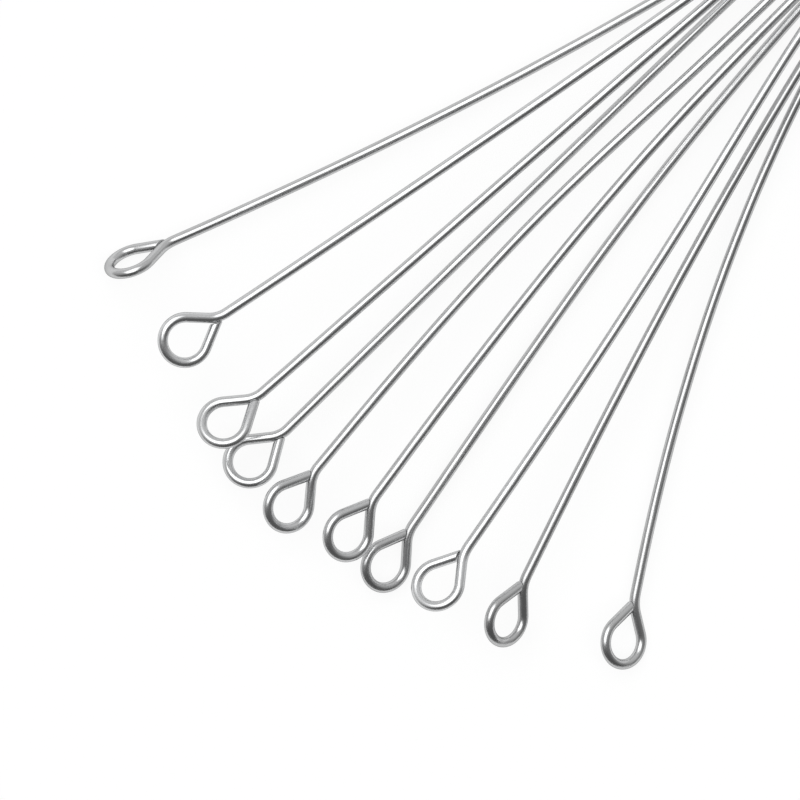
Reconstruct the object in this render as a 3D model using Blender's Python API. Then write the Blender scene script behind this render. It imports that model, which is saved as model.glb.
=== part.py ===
"""A fan of wire inoculating loops, gathered by their shanks in a soft sleeve.

Ten loops are bent from one size of nichrome wire. Each is a straight shank that ends in a small
teardrop eye, whose cut end comes back to the neck. The shanks lie side by side in the sleeve, in
layers, and splay out of its mouth into a flat fan. Each loop draws out of the sleeve on its own.
A loop is one length of wire, divided here at the neck into its shank and its eye.

Frame: +X runs along the gathered shanks towards the eyes, +Z is up, and the origin is under the
middle of the sleeve, on the surface that the fan lies on. Sizes are in metres.
"""

import math
from typing import NamedTuple

import bmesh
import bpy
from mathutils import Matrix, Vector

MM = 0.001

# The wire, and the eye at its end
WIRE_DIAMETER = 0.56 * MM
WIRE_RADIUS = WIRE_DIAMETER / 2
SHANK_LENGTH = 73.0 * MM  # from the neck of the eye to the cut tail, along the wire
EYE_BORE = 1.9 * MM  # clear width inside the eye
EYE_RADIUS = (EYE_BORE + WIRE_DIAMETER) / 2  # to the middle of the wire
EYE_HALF_ANGLE = math.radians(35.5)  # each straight side of the teardrop to its axis
NECK_BEND = 0.55 * MM  # how far the neck's bend reaches each way
EYE_GAP = 0.05 * MM  # left between the cut end and the neck
NECK_GAP = 0.05 * MM  # where the shank and the eye are divided

# The sleeve, and how the shanks are packed in it
SLEEVE_LENGTH = 10.0 * MM
SLEEVE_WALL = 0.5 * MM
SLEEVE_CLEARANCE = 0.12 * MM
SLEEVE_CORNER = 0.95 * MM  # outer corner radius
LEVEL_PITCH = 0.70 * MM  # from one layer of shanks to the next
COLUMN_PITCH = 0.96 * MM  # between the two shanks of a layer
LEVELS = 5
MOUTH_X = SLEEVE_LENGTH / 2

# How finely round stretches are cut
WIRE_RINGS = 2  # of the bevel, which gives the wire eight sides
FAN_STEPS = 14
BEND_STEPS = 4
EYE_STEPS = 20
CORNER_STEPS = 4
SHARP_ANGLE = math.radians(40)  # a steeper edge of the sleeve is shaded sharp


class LoopWire(NamedTuple):
    """One loop of the fan, as it leaves the sleeve's mouth. A left-hand wire has a negative offset."""

    reach_mm: float  # mouth to neck, along the fan's axis
    offset_mm: float  # neck to the fan's axis, across it
    heading: float  # degrees, the shank at the neck to the fan's axis
    kink: float  # degrees, the eye's axis to the shank, seen from above
    first_side: int  # which way the wire turns into its eye: 1 is +Y, -1 is -Y
    tilt: float  # degrees, the eye rolled about its own axis, its +Y side down
    rise: float  # degrees, the eye's axis up from level
    lead: float  # share of the span that holds to the sleeve's direction
    run_in: float  # share of the span that holds to the neck's direction
    level: int  # layer in the sleeve, counted from the bottom
    rests: bool  # the eye comes down to the surface


LOOP_WIRES = (
    LoopWire(52.10, -15.65, -23.4, 2.5, 1, -62, 10, 0.03, 0.68, 0, True),
    LoopWire(53.10, -10.85, -13.5, 0.0, -1, 12, 5, 0.17, 0.21, 4, False),
    LoopWire(54.90, -6.45, -5.7, -3.5, -1, -23, 9, 0.02, 0.95, 3, False),
    LoopWire(55.45, -4.10, -2.4, -4.5, -1, -17, 6, 0.02, 0.99, 1, False),
    LoopWire(55.80, -1.45, 3.5, 3.0, 1, 28, 6, 0.64, 0.49, 2, False),
    LoopWire(54.75, 1.90, 6.7, 1.0, 1, 29, 6, 0.45, 0.52, 3, False),
    LoopWire(54.60, 4.45, 8.7, 0.5, 1, 31, 6, 0.53, 0.40, 0, False),
    LoopWire(53.40, 7.40, 8.1, -4.5, 1, -27, 4, 0.47, 0.64, 4, False),
    LoopWire(52.40, 10.85, 16.9, 1.5, 1, 44, 7, 0.16, 0.61, 2, False),
    LoopWire(49.10, 15.95, 31.6, -3.5, 1, 38, 7, 0.45, 0.18, 1, True),
)


def clear_scene():
    """Removes what the scene holds."""
    for obj in list(bpy.data.objects):
        bpy.data.objects.remove(obj)


def material(name, colour, metallic, roughness):
    """A plain finish."""
    made = bpy.data.materials.new(name)
    made.use_nodes = True
    shader = made.node_tree.nodes["Principled BSDF"]
    shader.inputs["Base Color"].default_value = (*colour, 1.0)
    shader.inputs["Metallic"].default_value = metallic
    shader.inputs["Roughness"].default_value = roughness
    return made


def level_height(level):
    """Height of a shank's middle in the sleeve."""
    return SLEEVE_WALL + SLEEVE_CLEARANCE + WIRE_RADIUS + level * LEVEL_PITCH


def slot(wire):
    """Where a shank's middle comes out of the sleeve's mouth."""
    return Vector((MOUTH_X, math.copysign(COLUMN_PITCH / 2, wire.offset_mm), level_height(wire.level)))


def heading_vector(degrees):
    """A level direction, turned from the fan's axis towards +Y."""
    angle = math.radians(degrees)
    return Vector((math.cos(angle), math.sin(angle), 0.0))


def eye_axes(wire):
    """The eye's own axis, and the direction across it, in the eye's plane, towards the first side.

    The kink turns the axis from the shank's heading and the rise lifts it. The tilt then rolls the
    eye's plane about it.
    """
    level_along = heading_vector(wire.heading + wire.kink)
    level_across = Vector((-level_along.y, level_along.x, 0.0))
    along = Matrix.Rotation(math.radians(-wire.rise), 3, level_across) @ level_along
    across = Matrix.Rotation(math.radians(-wire.tilt), 3, along) @ level_across
    return along, across * wire.first_side


def neck_point(wire):
    """The apex of the eye. An eye that rests on the surface stands on the lowest point of its ring."""
    height = level_height(wire.level)
    if wire.rests:
        along, across = eye_axes(wire)
        rim_drop = EYE_RADIUS * math.hypot(along.z, across.z)
        height = WIRE_RADIUS + rim_drop - along.z * EYE_RADIUS / math.sin(EYE_HALF_ANGLE)
    return Vector((MOUTH_X + wire.reach_mm * MM, wire.offset_mm * MM, height))


def cubic(a, b, c, d, t):
    """The point at t, from 0 to 1, of the cubic curve with these control points."""
    s = 1.0 - t
    return s**3 * a + 3 * s * s * t * b + 3 * s * t * t * c + t**3 * d


def fan_points(wire):
    """The splayed stretch, from the sleeve's mouth to where the neck's bend begins.

    A cubic curve that leaves along the sleeve and arrives along the neck's heading.
    """
    start, neck, arrive = slot(wire), neck_point(wire), heading_vector(wire.heading)
    end = neck - NECK_BEND * arrive
    span = (neck - start).length
    leave_by = start + Vector((wire.lead * span, 0.0, 0.0))
    arrive_by = end - wire.run_in * span * arrive
    return [cubic(start, leave_by, arrive_by, end, i / FAN_STEPS) for i in range(FAN_STEPS + 1)]


def eye_points(wire):
    """The teardrop eye, from the neck's bend round to the cut end.

    A circle with two straight sides, which touch it and meet at the neck.
    """
    neck = neck_point(wire)
    along, across = eye_axes(wire)
    side_out = math.cos(EYE_HALF_ANGLE) * along + math.sin(EYE_HALF_ANGLE) * across
    side_back = math.cos(EYE_HALF_ANGLE) * along - math.sin(EYE_HALF_ANGLE) * across

    bend_start = neck - (NECK_BEND - NECK_GAP) * heading_vector(wire.heading)
    bend_end = neck + NECK_BEND * side_out
    points = []
    for i in range(BEND_STEPS + 1):
        t = i / BEND_STEPS
        points.append((1 - t) ** 2 * bend_start + 2 * t * (1 - t) * neck + t * t * bend_end)

    centre = neck + along * EYE_RADIUS / math.sin(EYE_HALF_ANGLE)
    first = math.pi / 2 + EYE_HALF_ANGLE  # where the first side touches the circle, from the axis
    for i in range(EYE_STEPS + 1):
        angle = first - 2 * first * i / EYE_STEPS
        points.append(centre + EYE_RADIUS * (math.cos(angle) * along + math.sin(angle) * across))

    spread = 2 * EYE_HALF_ANGLE  # the cut end's near corner clears the first side by the gap
    cut = (WIRE_RADIUS * (1 + math.cos(spread)) + EYE_GAP) / math.sin(spread)
    points.append(neck + cut * side_back)
    return points


def path_length(points):
    """The length of the straight runs from point to point."""
    return sum((b - a).length for a, b in zip(points, points[1:]))


def shank_points(wire):
    """The shank, from its cut tail behind the sleeve to the neck."""
    fan = fan_points(wire)
    tail_length = SHANK_LENGTH - NECK_BEND - path_length(fan)
    tail = fan[0] - Vector((tail_length, 0.0, 0.0))
    return [tail, *fan]


def make_wire(name, points, origin, finish):
    """A round wire along a path. Its origin is in the sleeve's mouth, on the line that it slides on."""
    curve = bpy.data.curves.new(name, "CURVE")
    curve.dimensions = "3D"
    curve.bevel_depth = WIRE_RADIUS
    curve.bevel_resolution = WIRE_RINGS
    curve.use_fill_caps = True
    curve.materials.append(finish)
    spline = curve.splines.new("POLY")
    spline.points.add(len(points) - 1)
    for target, place in zip(spline.points, points):
        target.co = (*(place - origin), 1.0)
    obj = bpy.data.objects.new(name, curve)
    obj.location = origin
    bpy.context.scene.collection.objects.link(obj)
    return obj


def rounded_outline(half_width, half_height, radius):
    """Points of a rounded rectangle about the origin, in Y and Z, counter-clockwise seen from +X."""
    points = []
    corners = ((1, 1, 0.0), (-1, 1, 0.5), (-1, -1, 1.0), (1, -1, 1.5))
    for y_sign, z_sign, start in corners:
        middle = Vector((0.0, y_sign * (half_width - radius), z_sign * (half_height - radius)))
        for i in range(CORNER_STEPS + 1):
            angle = math.pi * (start + 0.5 * i / CORNER_STEPS)
            points.append(middle + radius * Vector((0.0, math.cos(angle), math.sin(angle))))
    return points


def make_sleeve(finish):
    """The sleeve: a ring between two rounded rectangles, drawn out along X. It stands on its underside."""
    room_y = COLUMN_PITCH / 2 + WIRE_RADIUS + SLEEVE_CLEARANCE
    room_z = (LEVELS - 1) * LEVEL_PITCH / 2 + WIRE_RADIUS + SLEEVE_CLEARANCE
    outer = rounded_outline(room_y + SLEEVE_WALL, room_z + SLEEVE_WALL, SLEEVE_CORNER)
    inner = rounded_outline(room_y, room_z, SLEEVE_CORNER - SLEEVE_WALL)

    shape = bmesh.new()
    loops = []
    for outline in (outer, inner):
        verts = [shape.verts.new(p) for p in outline]
        loops += [shape.edges.new((a, b)) for a, b in zip(verts, verts[1:] + verts[:1])]
    ring = bmesh.ops.bridge_loops(shape, edges=loops)["faces"]
    drawn = bmesh.ops.extrude_face_region(shape, geom=ring, use_keep_orig=True)["geom"]
    moved = [item for item in drawn if isinstance(item, bmesh.types.BMVert)]
    bmesh.ops.translate(shape, vec=(SLEEVE_LENGTH, 0.0, 0.0), verts=moved)
    bmesh.ops.recalc_face_normals(shape, faces=shape.faces)

    mesh = bpy.data.meshes.new("gathering_sleeve")
    shape.to_mesh(mesh)
    shape.free()
    mesh.materials.append(finish)
    mesh.shade_smooth()
    mesh.set_sharp_from_angle(angle=SHARP_ANGLE)
    obj = bpy.data.objects.new("gathering_sleeve", mesh)
    obj.location = (-SLEEVE_LENGTH / 2, 0.0, room_z + SLEEVE_WALL)
    bpy.context.scene.collection.objects.link(obj)
    return obj


def main():
    clear_scene()
    nichrome = material("bright_nichrome", (0.66, 0.66, 0.65), 1.0, 0.24)
    silicone = material("clear_silicone", (0.80, 0.82, 0.81), 0.0, 0.45)
    make_sleeve(silicone)
    for number, wire in enumerate(LOOP_WIRES, start=1):
        make_wire(f"loop_shank_{number:02d}", shank_points(wire), slot(wire), nichrome)
        make_wire(f"loop_eye_{number:02d}", eye_points(wire), slot(wire), nichrome)


main()
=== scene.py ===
"""The looks of a fan of wire inoculating loops: bright drawn nichrome and a soft silicone sleeve.

The frame is the CAD model's: +X runs along the gathered shanks towards the eyes, +Z is up, and the
origin is under the middle of the sleeve, on the surface that the fan lies on. Sizes are in metres.
"""

import math
from typing import NamedTuple

import bpy
import numpy as np
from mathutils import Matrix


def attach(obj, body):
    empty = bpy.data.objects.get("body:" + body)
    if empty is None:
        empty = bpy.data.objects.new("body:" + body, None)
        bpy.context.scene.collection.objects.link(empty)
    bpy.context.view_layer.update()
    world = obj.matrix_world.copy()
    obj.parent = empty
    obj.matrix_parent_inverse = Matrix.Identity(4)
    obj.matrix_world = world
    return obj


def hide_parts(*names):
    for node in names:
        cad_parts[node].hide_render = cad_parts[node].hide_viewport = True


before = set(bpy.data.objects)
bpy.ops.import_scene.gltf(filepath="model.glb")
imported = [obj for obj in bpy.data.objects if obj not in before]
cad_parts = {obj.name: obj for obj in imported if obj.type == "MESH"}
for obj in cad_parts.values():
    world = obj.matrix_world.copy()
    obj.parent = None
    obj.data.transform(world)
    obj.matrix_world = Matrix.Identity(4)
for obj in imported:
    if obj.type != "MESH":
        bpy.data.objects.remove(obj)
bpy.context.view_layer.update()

MM = 0.001

# The wire, and the eye at its end
WIRE_RADIUS = 0.28 * MM
SHANK_LENGTH = 73.0 * MM
EYE_RADIUS = 1.23 * MM
EYE_HALF_ANGLE = math.radians(35.5)
NECK_BEND = 0.55 * MM
EYE_GAP = 0.02 * MM  # between the cut end and the neck's bend, which it is trimmed to lie along
TRIM_RUN = 0.5 * MM  # stretch over which the trimmed end slants
CUT_EDGE = 0.04 * MM  # rounding left on the wire's cut ends

# The sleeve, and how the shanks are packed in it
SLEEVE_LENGTH = 10.0 * MM
SLEEVE_WALL = 0.5 * MM
SLEEVE_CLEARANCE = 0.12 * MM
SLEEVE_CORNER = 0.95 * MM  # outer corner radius
RIDGE_DEPTH = 0.03 * MM  # the grooves between the faint ridges over the shanks
LEVEL_PITCH = 0.70 * MM  # from one layer of shanks to the next
COLUMN_PITCH = 0.96 * MM  # between the two shanks of a layer
LEVELS = 5
MOUTH_X = SLEEVE_LENGTH / 2

# The finishes
DIE_LINE = 0.06 * MM  # from one line of the drawing die to the next
DIE_LINE_RUN = 6.0 * MM
DIE_LINE_DEPTH = 0.014 * MM
ANNEAL_PATCH = 1.6 * MM
ANNEAL_SPREAD = 0.2  # how far a patch departs from its wire's own shine
BLOOM_PATCH = 0.9 * MM
SILICONE_GRAIN = 0.15 * MM
SILICONE_GRAIN_DEPTH = 0.02 * MM
PAPER_EVENNESS = 0.88  # share of the paper's white that no shadow dims

# How finely the surfaces are cut
WIRE_SIDES = 32
EDGE_STEPS = 6
TAIL_STEPS = 12
FAN_STEPS = 130
BEND_STEPS = 14
EYE_STEPS = 110
SLEEVE_ROUND = 192
SLEEVE_RUN = 40
SLEEVE_CORNER_STEPS = 12
LIP_STEPS = 14

# The photograph's framing
FRAME_WIDTH = 43.0 * MM  # what the picture spans at the height of the wires
FRAME_MIDDLE = (MOUTH_X + 49.65 * MM, -0.72 * MM, 2.0 * MM)
FRAME_ROLL = math.radians(133)
LENS = 1000.0
SENSOR = 36.0
CLIP_SPAN = 50  # how far from the camera's distance its near and far limits lie, as a factor

# The stage
FLOOR_HALF = 2.5
FLOOR_DROP = 0.02 * MM  # how far the paper lies under the fan
LAMP_AZIMUTH = 265
LAMP_LEAN, LAMP_LIFT = 0.37, 0.93  # parts of the lamp's direction along its azimuth and upwards
WALL_AZIMUTH = 231
FILL_ENERGY = 0.35 * math.pi
FILL_SPREAD = math.radians(50)
FILL_TILT = math.radians(-20)


class LoopWire(NamedTuple):
    """One loop of the fan, as it leaves the sleeve's mouth. A left-hand wire has a negative offset."""

    reach_mm: float  # mouth to neck, along the fan's axis
    offset_mm: float  # neck to the fan's axis, across it
    heading: float  # degrees, the shank at the neck to the fan's axis
    kink: float  # degrees, the eye's axis to the shank, seen from above
    first_side: int  # which way the wire turns into its eye: 1 is +Y, -1 is -Y
    tilt: float  # degrees, the eye rolled about its own axis, its +Y side down
    rise: float  # degrees, the eye's axis up from level
    lead: float  # share of the span that holds to the sleeve's direction
    run_in: float  # share of the span that holds to the neck's direction
    level: int  # layer in the sleeve, counted from the bottom
    rests: bool  # the eye comes down to the surface
    tone_and_painted_shade: float  # how bright the wire is drawn, 0 dull and 1 bright: partly its own tone, partly painted shade that darkens the wires whose tilted eyes mirror darker surroundings


# The last column is each wire's brightness: partly its own tone, partly painted shade for the wires whose
# tilted eyes mirror darker surroundings.
LOOP_WIRES = (
    LoopWire(52.10, -15.65, -23.4, 2.5, 1, -62, 10, 0.03, 0.68, 0, True, 0.46),
    LoopWire(53.10, -10.85, -13.5, 0.0, -1, 12, 5, 0.17, 0.21, 4, False, 0.75),
    LoopWire(54.90, -6.45, -5.7, -3.5, -1, -23, 9, 0.02, 0.95, 3, False, 0.66),
    LoopWire(55.45, -4.10, -2.4, -4.5, -1, -17, 6, 0.02, 0.99, 1, False, 0.58),
    LoopWire(55.80, -1.45, 3.5, 3.0, 1, 28, 6, 0.64, 0.49, 2, False, 0.60),
    LoopWire(54.75, 1.90, 6.7, 1.0, 1, 29, 6, 0.45, 0.52, 3, False, 0.58),
    LoopWire(54.60, 4.45, 8.7, 0.5, 1, 31, 6, 0.53, 0.40, 0, False, 0.42),
    LoopWire(53.40, 7.40, 8.1, -4.5, 1, -27, 4, 0.47, 0.64, 4, False, 0.76),
    LoopWire(52.40, 10.85, 16.9, 1.5, 1, 44, 7, 0.16, 0.61, 2, False, 0.36),
    LoopWire(49.10, 15.95, 31.6, -3.5, 1, 38, 7, 0.45, 0.18, 1, True, 0.40),
)


# Finishes


def linear(hex_colour):
    """An sRGB hex colour as linear red, green, blue and alpha."""
    srgb = np.array([int(hex_colour[i : i + 2], 16) for i in (1, 3, 5)]) / 255
    rgb = np.where(srgb <= 0.04045, srgb / 12.92, ((srgb + 0.055) / 1.055) ** 2.4)
    return (*rgb.tolist(), 1.0)


def add(tree, kind, inputs=None, **settings):
    """Adds a node. An input is a value, or an output socket to link from."""
    node = tree.nodes.new(kind)
    for key, value in settings.items():
        setattr(node, key, value)
    for key, value in (inputs or {}).items():
        if isinstance(value, bpy.types.NodeSocket):
            tree.links.new(value, node.inputs[key])
        else:
            node.inputs[key].default_value = value
    return node


def new_material(name):
    """A material with only its output node, and that node."""
    made = bpy.data.materials.new(name)
    made.use_nodes = True
    made.node_tree.nodes.clear()
    return made, made.node_tree, add(made.node_tree, "ShaderNodeOutputMaterial")


def drawn_nichrome():
    """Nichrome wire drawn through a die and bright annealed.

    The die leaves fine straight lines along the wire, which catch the light as streaks. Some wires are
    drawn brighter than others: partly each wire's own tone, partly painted shade that darkens the wires
    whose tilted eyes mirror darker surroundings. Annealing leaves each a little duller in patches. The
    real lines are about a hundredth of a millimetre apart, and are drawn at 0.06 mm here so that they
    show.
    """
    made, tree, out = new_material("drawn_nichrome")
    lay = add(tree, "ShaderNodeAttribute", attribute_name="wire_lay").outputs["Vector"]
    line_scale = (1 / DIE_LINE, 1 / DIE_LINE, 1 / DIE_LINE_RUN)
    line_place = add(tree, "ShaderNodeMapping", {"Vector": lay, "Scale": line_scale})
    lines = add(
        tree,
        "ShaderNodeTexNoise",
        {"Vector": line_place.outputs[0], "Scale": 1.0, "Detail": 3.0},
    )
    patches = add(tree, "ShaderNodeTexNoise", {"Vector": lay, "Scale": 1 / ANNEAL_PATCH, "Detail": 2.0})
    uneven = add(
        tree,
        "ShaderNodeMapRange",
        {"Value": patches.outputs["Fac"], "To Min": -ANNEAL_SPREAD, "To Max": ANNEAL_SPREAD},
    )
    # Each wire's brightness: partly its own tone, partly painted shade for the wires whose tilted eyes
    # mirror darker surroundings.
    tone_and_painted_shade = add(tree, "ShaderNodeAttribute", attribute_name="wire_tone_and_painted_shade").outputs["Fac"]
    tone_shade_and_patches = add(tree, "ShaderNodeMath", {0: tone_and_painted_shade, 1: uneven.outputs[0]}, operation="ADD")
    tint = add(
        tree,
        "ShaderNodeMix",
        {"Factor": tone_shade_and_patches.outputs[0], "A": linear("#B1B1B1"), "B": linear("#DEDFE0")},
        data_type="RGBA",
    )
    rough = add(
        tree,
        "ShaderNodeMapRange",
        {"Value": lines.outputs["Fac"], "From Min": 0.3, "From Max": 0.7, "To Min": 0.12, "To Max": 0.32},
    )
    bump = add(
        tree,
        "ShaderNodeBump",
        {"Height": lines.outputs["Fac"], "Strength": 0.6, "Distance": DIE_LINE_DEPTH},
    )
    shader = add(
        tree,
        "ShaderNodeBsdfPrincipled",
        {
            "Base Color": tint.outputs["Result"],
            "Metallic": 1.0,
            "Specular Tint": linear("#BCBCBC"),
            "Roughness": rough.outputs[0],
            "Normal": bump.outputs[0],
        },
    )
    tree.links.new(shader.outputs[0], out.inputs["Surface"])
    return made


def silicone():
    """Soft silicone tube, extruded: milky, half clear, with a faint bloom that dulls it in patches."""
    made, tree, out = new_material("milky_silicone")
    place = add(tree, "ShaderNodeTexCoord").outputs["Object"]
    bloom = add(tree, "ShaderNodeTexNoise", {"Vector": place, "Scale": 1 / BLOOM_PATCH, "Detail": 4.0})
    grain = add(tree, "ShaderNodeTexNoise", {"Vector": place, "Scale": 1 / SILICONE_GRAIN, "Detail": 2.0})
    rough = add(
        tree,
        "ShaderNodeMapRange",
        {"Value": bloom.outputs["Fac"], "From Min": 0.3, "From Max": 0.7, "To Min": 0.08, "To Max": 0.2},
    )
    tint = add(
        tree,
        "ShaderNodeMix",
        {"Factor": bloom.outputs["Fac"], "A": linear("#EDF1EF"), "B": linear("#F7F8F7")},
        data_type="RGBA",
    )
    bump = add(
        tree,
        "ShaderNodeBump",
        {"Height": grain.outputs["Fac"], "Strength": 0.15, "Distance": SILICONE_GRAIN_DEPTH},
    )
    shader = add(
        tree,
        "ShaderNodeBsdfPrincipled",
        {
            "Base Color": tint.outputs["Result"],
            "Roughness": rough.outputs[0],
            "IOR": 1.41,
            "Transmission Weight": 0.8,
            "Normal": bump.outputs[0],
        },
    )
    tree.links.new(shader.outputs[0], out.inputs["Surface"])
    return made


def white_floor():
    """Plain white paper. By eye or in a reflection it is mostly even white, and keeps a faint shadow."""
    made, tree, out = new_material("white_paper")
    path = add(tree, "ShaderNodeLightPath")
    seen = add(
        tree,
        "ShaderNodeMath",
        {0: path.outputs["Is Camera Ray"], 1: path.outputs["Is Glossy Ray"]},
        operation="MAXIMUM",
    )
    seen = add(
        tree,
        "ShaderNodeMath",
        {0: seen.outputs[0], 1: path.outputs["Is Transmission Ray"]},
        operation="MAXIMUM",
    )
    share = add(tree, "ShaderNodeMath", {0: seen.outputs[0], 1: PAPER_EVENNESS}, operation="MULTIPLY")
    paper = add(tree, "ShaderNodeBsdfDiffuse", {"Color": linear("#F8F8F8")})
    even = add(tree, "ShaderNodeEmission", {"Color": linear("#FFFFFF"), "Strength": 1.0})
    both = add(
        tree,
        "ShaderNodeMixShader",
        {0: share.outputs[0], 1: paper.outputs[0], 2: even.outputs[0]},
    )
    tree.links.new(both.outputs[0], out.inputs["Surface"])
    return made


# Surfaces


def grid_faces(rows, columns, close_rows=False):
    """Quads of a grid of points whose columns close on themselves, and whose rows may."""
    i = np.arange(rows if close_rows else rows - 1)[:, None]
    j = np.arange(columns)[None, :]
    below, right = (i + 1) % rows, (j + 1) % columns
    corners = (i * columns + j, below * columns + j, below * columns + right, i * columns + right)
    return np.stack(np.broadcast_arrays(*corners), -1).reshape(-1, 4)


def add_piece(name, points, faces, finish, body, slot, *nodes):
    """Makes a smooth mesh that rides on a body in the place of its CAD nodes."""
    mesh = bpy.data.meshes.new(name)
    mesh.from_pydata(points.reshape(-1, 3).tolist(), [], faces)
    mesh.materials.append(finish)
    mesh.shade_smooth()
    piece = bpy.data.objects.new(name, mesh)
    bpy.context.scene.collection.objects.link(piece)
    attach(piece, body)
    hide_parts(*nodes)
    return piece


def unit(vectors):
    """Vectors divided by their lengths."""
    return vectors / np.linalg.norm(vectors, axis=-1, keepdims=True)


def heading_vector(degrees):
    """A level direction, turned from the fan's axis towards +Y."""
    angle = math.radians(degrees)
    return np.array([math.cos(angle), math.sin(angle), 0.0])


def level_height(level):
    """Height of a shank's middle in the sleeve."""
    return SLEEVE_WALL + SLEEVE_CLEARANCE + WIRE_RADIUS + level * LEVEL_PITCH


def fan_path(wire):
    """The shank, from its cut tail to the neck's bend.

    It is straight in the sleeve. From the mouth on it is a cubic curve, which leaves along the sleeve
    and arrives along the neck's heading: the four control points weighted by (1-t)^3, 3t(1-t)^2,
    3t^2(1-t) and t^3.
    """
    start = np.array([MOUTH_X, math.copysign(COLUMN_PITCH / 2, wire.offset_mm), level_height(wire.level)])
    arrive = heading_vector(wire.heading)
    end = neck_point(wire) - NECK_BEND * arrive
    span = np.linalg.norm(neck_point(wire) - start)
    control = np.array([start, start + [wire.lead * span, 0, 0], end - wire.run_in * span * arrive, end])
    t = np.linspace(0, 1, FAN_STEPS + 1)[:, None]
    weights = np.hstack([(1 - t) ** 3, 3 * t * (1 - t) ** 2, 3 * t * t * (1 - t), t**3])
    fan = weights @ control
    tail_length = SHANK_LENGTH - NECK_BEND - np.linalg.norm(np.diff(fan, axis=0), axis=1).sum()
    back = np.linspace(tail_length, 0, TAIL_STEPS, endpoint=False)
    tail = start - back[:, None] * [1.0, 0.0, 0.0]
    return np.vstack([tail, fan])


def eye_axes(wire):
    """The eye's own axis, and the direction across it, in the eye's plane, towards the first side.

    The kink turns the axis from the shank's heading and the rise lifts it. The tilt rolls the eye's
    plane about it: across is a level direction times cos(tilt), less an upward one times sin(tilt).
    """
    azimuth = wire.heading + wire.kink
    rise, tilt = math.radians(wire.rise), math.radians(wire.tilt)
    along = math.cos(rise) * heading_vector(azimuth) + np.array([0.0, 0.0, math.sin(rise)])
    level_across = heading_vector(azimuth + 90)
    upward = np.cross(along, level_across)
    return along, wire.first_side * (math.cos(tilt) * level_across - math.sin(tilt) * upward)


def neck_point(wire):
    """The apex of the eye. An eye that rests on the surface stands on the lowest point of its ring."""
    height = level_height(wire.level)
    if wire.rests:
        along, across = eye_axes(wire)
        rim_drop = EYE_RADIUS * math.hypot(along[2], across[2])
        height = WIRE_RADIUS + rim_drop - along[2] * EYE_RADIUS / math.sin(EYE_HALF_ANGLE)
    return np.array([MOUTH_X + wire.reach_mm * MM, wire.offset_mm * MM, height])


def eye_path(wire):
    """The teardrop eye, from the neck's bend round to the cut end.

    The bend is a quadratic curve about the neck. The ring is a circle in the eye's plane, and its two
    straight sides touch it. The second side stops short of the middle of the bend. Returns the path,
    and the direction square to the bend there, which the cut end is trimmed to face.
    """
    neck, arrive = neck_point(wire), heading_vector(wire.heading)
    along, across = eye_axes(wire)
    side_out = math.cos(EYE_HALF_ANGLE) * along + math.sin(EYE_HALF_ANGLE) * across
    side_back = math.cos(EYE_HALF_ANGLE) * along - math.sin(EYE_HALF_ANGLE) * across

    t = np.linspace(0, 1, BEND_STEPS + 1)[1:, None]
    bend_start, bend_end = neck - NECK_BEND * arrive, neck + NECK_BEND * side_out
    bend = (1 - t) ** 2 * bend_start + 2 * t * (1 - t) * neck + t * t * bend_end

    centre = neck + along * EYE_RADIUS / math.sin(EYE_HALF_ANGLE)
    first = math.pi / 2 + EYE_HALF_ANGLE
    angle = np.linspace(first, -first, EYE_STEPS + 1)[:, None]
    ring = centre + EYE_RADIUS * (np.cos(angle) * along + np.sin(angle) * across)

    middle = (bend_start + 2 * neck + bend_end) / 4
    onward = unit(arrive + side_out)
    facing = unit(side_back - (side_back @ onward) * onward)
    cut = (WIRE_RADIUS + EYE_GAP + (middle - neck) @ facing) / (side_back @ facing)
    return np.vstack([bend, ring, neck + cut * side_back]), facing


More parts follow.
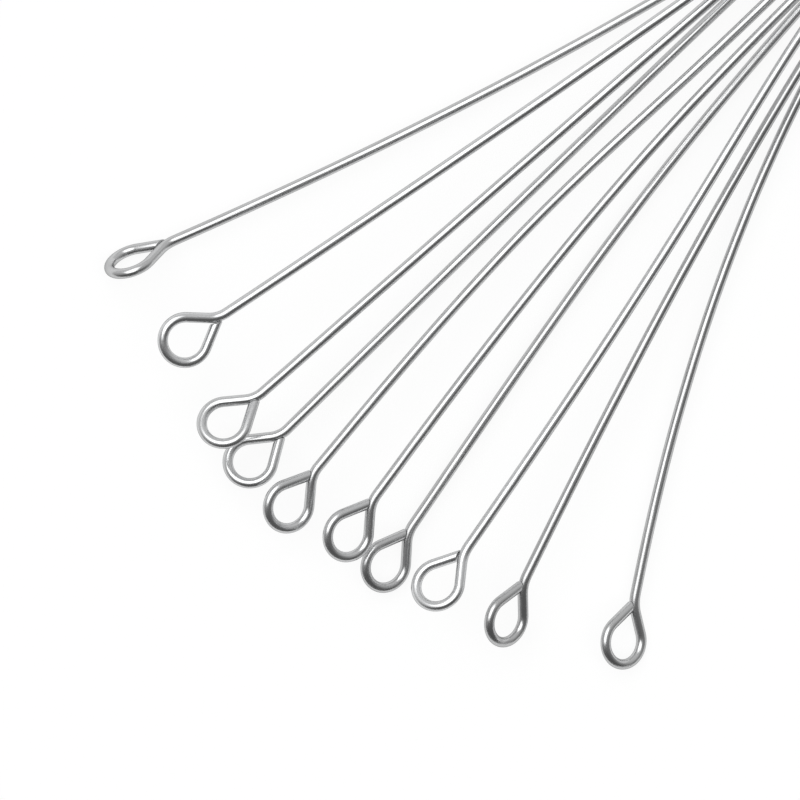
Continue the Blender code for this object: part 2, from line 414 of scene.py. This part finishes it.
def wire_surface(path, facing):
    """A round wire along a path, with its cut ends closed.

    At distance s along the path, a circle of radius r(s) lies across it: point + r (cos a side + sin a
    up), where side is level and up is square to side and to the path. r is the wire's radius, and
    falls along a quarter circle over the last stretch before each cut. Near the eye's end the circles
    slide along the path until their plane is square to a given facing. Returns the points, the faces and
    each point's place in the wire: r cos a, r sin a and s.
    """
    run = np.concatenate([[0.0], np.cumsum(np.linalg.norm(np.diff(path, axis=0), axis=1))])
    ease = CUT_EDGE * (1 - np.cos(np.linspace(0, math.pi / 2, EDGE_STEPS + 1)))
    s = np.unique(np.concatenate([ease, run[1:-1], run[-1] - ease]))
    middle = np.stack([np.interp(s, run, path[:, k]) for k in range(3)], -1)
    tangent = unit(np.gradient(middle, s, axis=0))
    side = unit(np.cross(tangent, [0.0, 0.0, 1.0]))
    up = np.cross(side, tangent)
    near = np.minimum(np.minimum(s, s[-1] - s), CUT_EDGE)
    radius = WIRE_RADIUS - CUT_EDGE + np.sqrt(np.maximum(CUT_EDGE**2 - (CUT_EDGE - near) ** 2, 0.0))

    angle = np.linspace(0, 2 * math.pi, WIRE_SIDES, endpoint=False)
    turn = np.cos(angle)[:, None] * side[:, None] + np.sin(angle)[:, None] * up[:, None]
    trim = np.clip(1 - (s[-1] - s) / TRIM_RUN, 0, 1)
    slide = -trim[:, None] * (turn @ facing) / (tangent[-1] @ facing)
    rings = middle[:, None] + radius[:, None, None] * (turn + slide[..., None] * tangent[:, None])
    points = np.vstack([rings.reshape(-1, 3), middle[:1], middle[-1:]])

    here = np.arange(WIRE_SIDES)
    onward = (here + 1) % WIRE_SIDES
    last = (len(s) - 1) * WIRE_SIDES
    tail_pole, eye_pole = len(points) - 2, len(points) - 1
    tail_cap = np.stack([np.full(WIRE_SIDES, tail_pole), here, onward], -1)
    eye_cap = np.stack([np.full(WIRE_SIDES, eye_pole), last + onward, last + here], -1)
    faces = grid_faces(len(s), WIRE_SIDES).tolist() + tail_cap.tolist() + eye_cap.tolist()

    round_lay = radius[:, None, None] * np.stack([np.cos(angle), np.sin(angle)], -1)
    length_lay = np.broadcast_to(s[:, None, None], (len(s), WIRE_SIDES, 1))
    lay = np.concatenate([round_lay, length_lay], -1).reshape(-1, 3)
    poles = np.array([[0.0, 0.0, 0.0], [0.0, 0.0, s[-1]]])
    return points, faces, np.vstack([lay, poles])


def make_loop(number, wire, finish):
    """One loop: a single unbroken wire from its cut tail to the cut end of its eye."""
    eye, facing = eye_path(wire)
    points, faces, lay = wire_surface(np.vstack([fan_path(wire), eye]), facing)
    tag = f"{number:02d}"
    nodes = (f"loop_shank_{tag}", f"loop_eye_{tag}")
    piece = add_piece(f"inoculating_loop_{tag}", points, faces, finish, f"loop_{tag}", "wire", *nodes)
    place = piece.data.attributes.new("wire_lay", "FLOAT_VECTOR", "POINT")
    place.data.foreach_set("vector", lay.ravel())
    # Each wire's brightness, partly its own tone and partly painted shade, set on all its points.
    tone_and_painted_shade = piece.data.attributes.new("wire_tone_and_painted_shade", "FLOAT", "POINT")
    tone_and_painted_shade.data.foreach_set("value", np.full(len(lay), wire.tone_and_painted_shade))


def sleeve_outline(half_width, half_height, radius):
    """Points and outward directions round a rounded rectangle, evenly spaced, in Y and Z.

    Each corner is a quarter circle about its own middle, and straight sides join the corners.
    """
    quarter = np.linspace(0, math.pi / 2, SLEEVE_CORNER_STEPS + 1)
    angle = quarter + (math.pi / 2) * np.arange(4)[:, None]
    outward = np.stack([np.cos(angle), np.sin(angle)], -1)
    signs = np.array([[1, 1], [-1, 1], [-1, -1], [1, -1]])[:, None]
    corners = signs * [half_width - radius, half_height - radius] + radius * outward
    loop = np.vstack([corners.reshape(-1, 2), corners[:1, 0]])
    facing = np.vstack([outward.reshape(-1, 2), outward[:1, 0]])
    run = np.concatenate([[0.0], np.cumsum(np.linalg.norm(np.diff(loop, axis=0), axis=1))])
    s = np.linspace(0, run[-1], SLEEVE_ROUND, endpoint=False)
    even = np.stack([np.interp(s, run, loop[:, k]) for k in range(2)], -1)
    direction = unit(np.stack([np.interp(s, run, facing[:, k]) for k in range(2)], -1))
    return even, direction


def make_sleeve(finish):
    """The sleeve: a rounded rectangle, moved out by d while it is carried along x.

    (x, d) runs along the outside at the wall's thickness, round the mouth's lip on a half circle, back
    along the bore at zero, and round the other lip. Outside, faint ridges lie over the shanks within:
    d grows by a cosine of the height, on the two tall sides only.
    """
    room_y = COLUMN_PITCH / 2 + WIRE_RADIUS + SLEEVE_CLEARANCE
    room_z = (LEVELS - 1) * LEVEL_PITCH / 2 + WIRE_RADIUS + SLEEVE_CLEARANCE
    outline, outward = sleeve_outline(room_y, room_z, SLEEVE_CORNER - SLEEVE_WALL)

    lip = SLEEVE_WALL / 2
    flat = SLEEVE_LENGTH / 2 - lip
    half_turn = np.linspace(0, math.pi, LIP_STEPS + 1)
    outside = np.linspace(-flat, flat, SLEEVE_RUN, endpoint=False)
    inside = -outside
    bulge, rise = lip * np.sin(half_turn[:-1]), lip * np.cos(half_turn[:-1])
    x = np.concatenate([outside, flat + bulge, inside, -flat - bulge])
    d = np.concatenate([np.full(SLEEVE_RUN, SLEEVE_WALL), lip + rise, np.zeros(SLEEVE_RUN), lip - rise])
    groove = (np.cos(2 * math.pi * outline[:, 1] / LEVEL_PITCH) - 1) / 2
    ridge = RIDGE_DEPTH * groove * outward[:, 0] ** 2
    grip = (d / SLEEVE_WALL)[:, None] * ridge[None, :]
    place = outline[None] + (d[:, None] + grip)[..., None] * outward[None]
    points = np.concatenate([np.broadcast_to(x[:, None, None], (*place.shape[:2], 1)), place], -1)
    points[..., 2] += room_z + SLEEVE_WALL
    faces = grid_faces(len(x), SLEEVE_ROUND, close_rows=True)[:, ::-1].tolist()
    add_piece("silicone_sleeve", points, faces, finish, "sleeve", "sleeve", "gathering_sleeve")


# Stage


def make_floor():
    """A wide sheet of white paper just under the fan."""
    signs = ((-1, -1), (1, -1), (1, 1), (-1, 1))
    corners = [(x * FLOOR_HALF, y * FLOOR_HALF, -FLOOR_DROP) for x, y in signs]
    mesh = bpy.data.meshes.new("paper_floor")
    mesh.from_pydata(corners, [], [(0, 1, 2, 3)])
    mesh.materials.append(white_floor())
    floor = bpy.data.objects.new("paper_floor", mesh)
    bpy.context.scene.collection.objects.link(floor)


def make_studio():
    """A soft light nearly overhead, and walls that are pale on one side of the fan and dark on the other.

    The wire mirrors the dark side as the grey band along its flank. A fill lamp lights the paper and
    the silicone to a plain level; it isn't mirrored.
    """
    world = bpy.data.worlds.new("studio")
    world.use_nodes = True
    tree = world.node_tree
    tree.nodes.clear()
    way = add(tree, "ShaderNodeTexCoord").outputs["Generated"]
    lamp_way = LAMP_LEAN * heading_vector(LAMP_AZIMUTH) + np.array([0.0, 0.0, LAMP_LIFT])
    wall_way = heading_vector(WALL_AZIMUTH)
    to_lamp = add(tree, "ShaderNodeVectorMath", {0: way, 1: lamp_way}, operation="DOT_PRODUCT")
    to_wall = add(tree, "ShaderNodeVectorMath", {0: way, 1: wall_way}, operation="DOT_PRODUCT")
    lamp = add(
        tree,
        "ShaderNodeMapRange",
        {"Value": to_lamp.outputs["Value"], "From Min": 0.85, "From Max": 0.93, "To Max": 1.75},
        interpolation_type="SMOOTHSTEP",
    )
    wall = add(
        tree,
        "ShaderNodeMapRange",
        {
            "Value": to_wall.outputs["Value"],
            "From Min": -0.74,
            "From Max": 0.7,
            "To Min": 0.12,
            "To Max": 0.72,
        },
        interpolation_type="SMOOTHSTEP",
    )
    level = add(tree, "ShaderNodeMath", {0: lamp.outputs[0], 1: wall.outputs[0]}, operation="ADD")
    glow = add(tree, "ShaderNodeBackground", {"Strength": level.outputs[0], "Color": linear("#FFFFFF")})
    out = add(tree, "ShaderNodeOutputWorld")
    tree.links.new(glow.outputs[0], out.inputs["Surface"])
    bpy.context.scene.world = world

    fill = bpy.data.lights.new("fill", "SUN")
    fill.energy = FILL_ENERGY
    fill.angle = FILL_SPREAD
    fill_lamp = bpy.data.objects.new("fill", fill)
    fill_lamp.rotation_euler = (FILL_TILT, 0.0, 0.0)
    fill_lamp.visible_glossy = False
    bpy.context.scene.collection.objects.link(fill_lamp)


def make_camera():
    """Straight above the eyes, far off, with the picture's width set at the height of the wires."""
    lens = bpy.data.cameras.new("photo_view")
    lens.lens = LENS
    lens.sensor_width = SENSOR
    distance = FRAME_WIDTH * LENS / SENSOR
    camera = bpy.data.objects.new("photo_view", lens)
    camera.location = (FRAME_MIDDLE[0], FRAME_MIDDLE[1], FRAME_MIDDLE[2] + distance)
    camera.rotation_euler = (0.0, 0.0, FRAME_ROLL)
    lens.clip_start = distance / CLIP_SPAN
    lens.clip_end = distance * CLIP_SPAN
    bpy.context.scene.collection.objects.link(camera)
    bpy.context.scene.camera = camera


wire_finish = drawn_nichrome()
for count, loop_wire in enumerate(LOOP_WIRES, start=1):
    make_loop(count, loop_wire, wire_finish)
make_sleeve(silicone())
make_floor()
make_studio()
make_camera()
bpy.context.scene.view_settings.view_transform = "Standard"
